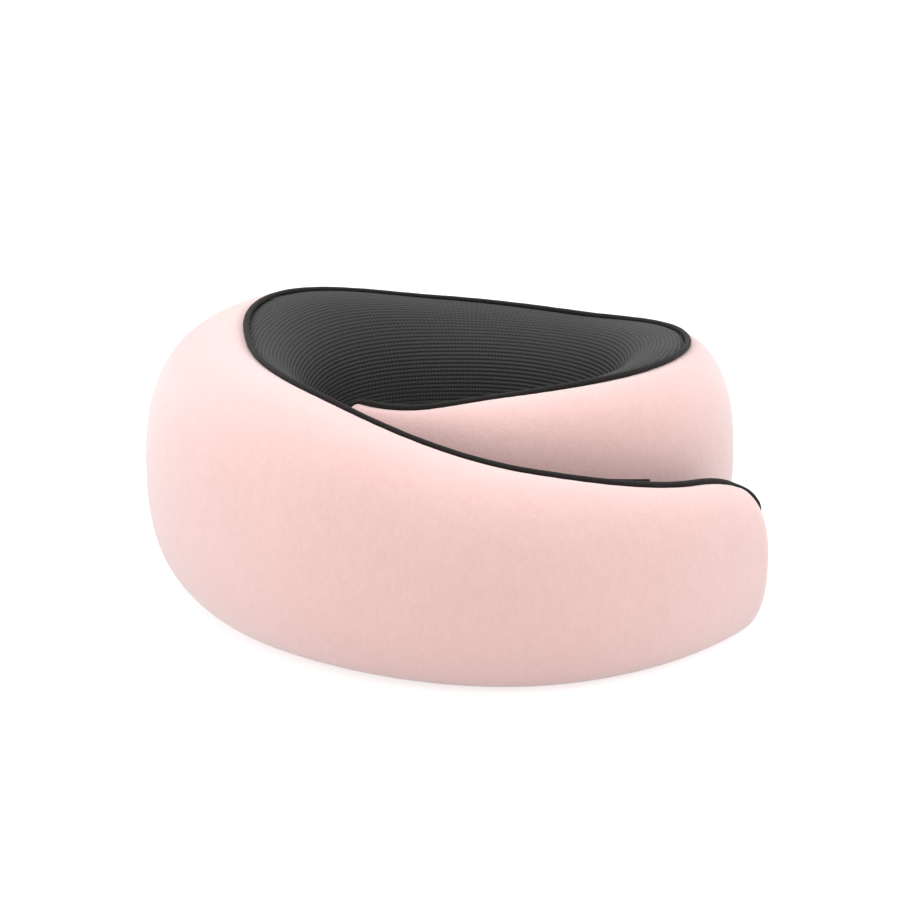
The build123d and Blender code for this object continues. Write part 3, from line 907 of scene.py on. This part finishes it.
def wire_up(material, shader, add, color, height, distance, strength=1.0):
    """Feeds a colour and a bump from a height into the shader."""
    bump = add("ShaderNodeBump", Height=height, Distance=distance, Strength=strength)
    material.node_tree.links.new(color, shader.inputs["Base Color"])
    material.node_tree.links.new(bump.outputs[0], shader.inputs["Normal"])
    return material


def placed_effect(add, tree, **values):
    node = add("ShaderNodeGroup", node_tree=tree)
    for key, value in values.items():
        node.inputs[key.replace("_", " ")].default_value = value
    return node


def fabric(name, tree, values, distance, roughness=0.85, sheen=0.0, sheen_rough=0.4, tint=(1, 1, 1, 1)):
    material, shader, add = new_material(name, roughness)
    made = placed_effect(add, tree, **values)
    shader.inputs["Sheen Weight"].default_value = sheen
    shader.inputs["Sheen Roughness"].default_value = sheen_rough
    shader.inputs["Sheen Tint"].default_value = tint
    shader.inputs["Specular IOR Level"].default_value = 0.25
    return wire_up(material, shader, add, made.outputs["Color"], made.outputs["Height"], distance)


def grained(name, color, worn, tree, scale, roughness, metallic=0.0, distance=0.0001):
    """Solid stuff with pores or scuffs that change its colour."""
    material, shader, add = new_material(name, roughness, metallic)
    made = placed_effect(add, tree, Scale=scale)
    blended = mixed(add, made.outputs["Mask"], (*color, 1), (*worn, 1))
    return wire_up(material, shader, add, blended, made.outputs["Height"], distance, 0.6)


PILE, KNIT, TWILL, GRAIN = pile_effect(), knit_effect(), twill_effect(), grain_effect()
pink_pile = fabric("Pink brushed pile", PILE, {
    "Tip_Color": (0.85, 0.575, 0.55, 1), "Root_Color": (0.79, 0.51, 0.485, 1)},
    0.00007, 0.95, 0.95, 0.5, (1.0, 0.98, 0.98, 1))
# Black knit: the thread's own colour, and the hole colour as painted shade in the grooves and holes.
black_knit = fabric("Black spacer knit", KNIT, {
    "Thread_Color": (0.041, 0.041, 0.042, 1), "Hole_Color": (0.008, 0.008, 0.008, 1)}, 0.00015, 0.48)
black_bind = fabric("Black piping twill", TWILL, {
    "Thread_Color": (0.02, 0.017, 0.016, 1), "Shade_Color": (0.006, 0.005, 0.005, 1)}, 0.0001, 0.65, 0.05)
tape_weave = fabric("Pink zip tape weave", TWILL, {
    "Thread_Color": (0.9, 0.62, 0.6, 1), "Shade_Color": (0.6, 0.36, 0.34, 1), "Pitch": 0.0007},
    0.00008, 0.8, 0.1)
liner_knit = fabric("Liner jersey", PILE, {
    "Tip_Color": (0.82, 0.81, 0.78, 1), "Root_Color": (0.62, 0.61, 0.58, 1), "Fibre_Scale": 900.0}, 0.0001)
loop_pile = fabric("Touch fastener pile", PILE, {
    "Tip_Color": (0.03, 0.03, 0.031, 1), "Root_Color": (0.004, 0.004, 0.004, 1), "Fibre_Scale": 1100.0},
    0.0004, 0.9, 0.2)
foam_skin = grained("Memory foam", (0.86, 0.8, 0.62), (0.66, 0.58, 0.4), GRAIN, 420.0, 0.9, 0.0, 0.0004)
pink_thread = grained("Pink sewing thread", (0.88, 0.6, 0.58), (0.66, 0.4, 0.38), GRAIN, 3000.0, 0.6)
black_thread = grained("Black sewing thread", (0.014, 0.013, 0.013), (0.05, 0.048, 0.047), GRAIN, 3000.0, 0.6)
coil_nylon = grained("Pink nylon coil", (0.9, 0.68, 0.66), (0.7, 0.46, 0.45), GRAIN, 2000.0, 0.35)
gunmetal = grained("Zip metal", (0.42, 0.4, 0.4), (0.2, 0.19, 0.19), GRAIN, 900.0, 0.34, 1.0, 0.00004)
hook_nylon = grained("Hook nylon", (0.02, 0.02, 0.021), (0.05, 0.05, 0.052), GRAIN, 2500.0, 0.45)


# ---------------------------------------------------------------- the pillow

SWELL = swell_field()
ROWS = row_tree()

for name, run, bodies, angle, reach in STRETCHES:
    layers = [
        (build_cover(name, run), pink_pile, "cover_fabric", "cover"),
        (build_mesh(name, run), black_knit, "spacer_mesh", "mesh"),
        (build_piping(name, run), black_bind, "piping", "piping"),
        (build_roll(f"liner_{name}_bag", run, LINER_DEPTH, 3 * MM, LINER_ZIP_LEVEL),
         liner_knit, "liner_cloth", "liner"),
        (build_roll(f"foam_{name}_core", run, FOAM_DEPTH, 4 * MM, FOAM_ZIP_LEVEL),
         foam_skin, "foam", "foam"),
    ]
    for piece, material, slot, node in layers:
        dress(piece, material)
        bend(piece, bodies, angle, reach)
        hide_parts(*[f"{node}_{section}" for section in SECTIONS[name]])
    inside = np.clip(run, FIRST_ANGLE, LAST_ANGLE)
    runs = strip_runs(inside, 2 * MM)
    low = 180 - wall_turn(runs, LOWER_SEAM_HEIGHT + 2.4 * MM)
    line = pulled_skin(runs, low[:, None], -0.15 * MM)[:, 0]
    base = pulled_skin(runs, low[:, None], 1 * MM)[:, 0]
    stitches = row_of_shapes(f"lower_seam_{name}_stitches", ROWS, [(line, unit(line - base))], black_thread,
                             SEAM_PITCH, SEAM_STITCH)
    bend(stitches, bodies, angle, reach)

loop_patch = build_patch("loop_patch_pile", LOOP_ANGLES, LOOP_HEIGHTS, True, LOOP_CLIMB)
loop_border = patch_border(LOOP_ANGLES, LOOP_HEIGHTS, True, LOOP_CLIMB)
loop_stitches = row_of_shapes("loop_patch_stitches", ROWS, [loop_border], black_thread,
                              BORDER_PITCH, BORDER_STITCH)
for piece, material in ((loop_patch, loop_pile), (loop_stitches, black_thread)):
    dress(piece, material)
    bend(piece, ("inner_arm", "inner_tip"), 400, (26 * MM, 40 * MM))
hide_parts("loop_patch")

hook_patch = build_patch("hook_patch_field", HOOK_ANGLES, HOOK_HEIGHTS, False)
hook_border = patch_border(HOOK_ANGLES, HOOK_HEIGHTS, False)
hook_stitches = row_of_shapes("hook_patch_stitches", ROWS, [hook_border], black_thread,
                              BORDER_PITCH, BORDER_STITCH)
hook_rows = []
for height in np.arange(HOOK_HEIGHTS[0] + 4.2 * MM, HOOK_HEIGHTS[1] - 4 * MM, HOOK_PITCH):
    columns = np.linspace(HOOK_ANGLES[0] + 2.4, HOOK_ANGLES[1] - 2.4, 40)
    line = wall_points(columns, np.array([[height]]), False, 1.1 * MM)[:, 0]
    hook_rows.append((line, unit(line - wall_points(columns, np.array([[height]]), False, 0)[:, 0])))
hooks = row_of_shapes("hook_patch_hooks", ROWS, hook_rows, hook_nylon, HOOK_PITCH, HOOK_SIZE,
                      stagger=0.2 * MM, slant=0.5)
for piece, material in ((hook_patch, hook_nylon), (hook_stitches, black_thread), (hooks, hook_nylon)):
    dress(piece, material)
    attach(piece, "outer_tip")
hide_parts("hook_patch")

for name, side in (("upper", 1), ("lower", -1)):
    tape = zip_tape(f"zip_tape_{name}_weave", side)
    dress(tape, tape_weave)
    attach(tape, "back")
    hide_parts(f"zip_tape_{name}")


def zip_line(ends, up, out, count=160):
    arc = np.linspace(*ends, count)
    line = zip_point(arc, np.full(count, up), np.full(count, out))
    return line, unit(zip_point(arc, np.full(count, up), np.full(count, out + 1 * MM)) - line)


teeth = row_of_shapes("zip_teeth_coil", ROWS, [zip_line(TEETH_ENDS, 0.0, -0.35 * MM)], coil_nylon,
                      TOOTH_PITCH, TOOTH_SIZE, stagger=0.35 * MM)
dress(teeth, coil_nylon)
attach(teeth, "back")
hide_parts("zip_teeth")


def nearest_skin(arc, up):
    """Points of the cover beside the zip, and the way out of it."""
    skin = bpy.data.objects["cover_right_panel"], bpy.data.objects["cover_left_panel"]
    trees = [BVHTree.FromObject(piece, bpy.context.evaluated_depsgraph_get()) for piece in skin]
    line, out = [], []
    for a, u in zip(arc, up):
        start = zip_point(np.array([a]), np.array([u]), np.array([15 * MM]))[0]
        way = unit(zip_point(np.array([a]), np.array([u]), np.array([0.0]))[0] - start)
        hits = [tree.ray_cast(Vector(start), Vector(way)) for tree in trees]
        hits = [hit for hit in hits if hit[0] is not None]
        if hits:
            hit = min(hits, key=lambda h: h[3])
            line.append(hit[0])
            out.append(hit[1])
    return np.array(line), unit(np.array(out))


edge_up = SLOT_HALF_WIDTH + 2.0 * MM
arc = np.linspace(ZIP_ENDS[0] - 1.2, ZIP_ENDS[1] + 1.2, 200)
ends = np.linspace(-edge_up, edge_up, 14)
seams = [nearest_skin(arc, np.full(200, side * edge_up)) for side in (1, -1)]
seams += [nearest_skin(np.full(14, end), ends) for end in (arc[0], arc[-1])]
topstitch = row_of_shapes("zip_topstitching", ROWS, seams, pink_thread, TOP_PITCH, TOP_STITCH,
                          lift=0.08 * MM)
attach(topstitch, "back")
for node in ("zip_top_stop", "zip_bottom_stop", "zip_slider", "zip_pull"):
    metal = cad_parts[node]
    if not metal.material_slots:
        metal.data.materials.append(gunmetal)
    for holder in metal.material_slots:
        holder.material = gunmetal


# ---------------------------------------------------------------- studio

def area_light(name, place, aim, size, power):
    data = bpy.data.lights.new(name, "AREA")
    data.shape = "RECTANGLE"
    data.size, data.size_y = size
    data.energy = power
    light = bpy.data.objects.new(name, data)
    light.location = place
    light.rotation_euler = (Vector(aim) - Vector(place)).to_track_quat("-Z", "Y").to_euler()
    bpy.context.scene.collection.objects.link(light)


def build_studio():
    floor = new_piece("Floor", [(-6, -6, 0), (6, -6, 0), (6, 6, 0), (-6, 6, 0)], [(0, 1, 2, 3)])
    material, shader, add = new_material("Pale floor", 0.8)
    shader.inputs["Base Color"].default_value = (0.5, 0.5, 0.5, 1)
    shader.inputs["Emission Color"].default_value = (1, 1, 1, 1)
    seen = add("ShaderNodeLightPath").outputs["Is Camera Ray"]
    glow = add("ShaderNodeMath", operation="MULTIPLY_ADD", _0=seen, _1=0.4, _2=0.27)
    material.node_tree.links.new(glow.outputs[0], shader.inputs["Emission Strength"])
    floor.data.materials.append(material)
    floor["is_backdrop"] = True
    world = bpy.data.worlds.new("Studio")
    world.use_nodes = True
    world.node_tree.nodes["Background"].inputs["Color"].default_value = (1, 1, 1, 1)
    world.node_tree.nodes["Background"].inputs["Strength"].default_value = 0.79
    bpy.context.scene.world = world
    area_light("Top softbox", (-0.1, 0.1, 1.2), (0, 0, 0.05), (1.0, 1.0), 5.5)
    area_light("Front softbox", (0.1, -0.9, 1.1), (0, 0, 0.05), (1.0, 0.8), 2.6)
    area_light("Left softbox", (-1.2, -0.2, 0.6), (0, 0, 0.05), (0.8, 0.8), 4.2)
    area_light("Right softbox", (1.2, -0.1, 0.6), (0, 0, 0.05), (0.8, 0.8), 3.4)


def build_camera():
    elevation = math.radians(17.81)
    target = Vector((0.0003, 0.0156, 0.05465))
    data = bpy.data.cameras.new("Camera")
    data.lens = 100.76
    data.sensor_width = 36
    camera = bpy.data.objects.new("Camera", data)
    back = Vector((0, -math.cos(elevation), math.sin(elevation)))
    camera.location = target + back * 1.1
    camera.rotation_euler = (-back).to_track_quat("-Z", "Y").to_euler()
    bpy.context.scene.collection.objects.link(camera)
    bpy.context.scene.camera = camera
    bpy.context.scene.view_settings.view_transform = "Standard"


build_studio()
build_camera()

low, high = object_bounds()
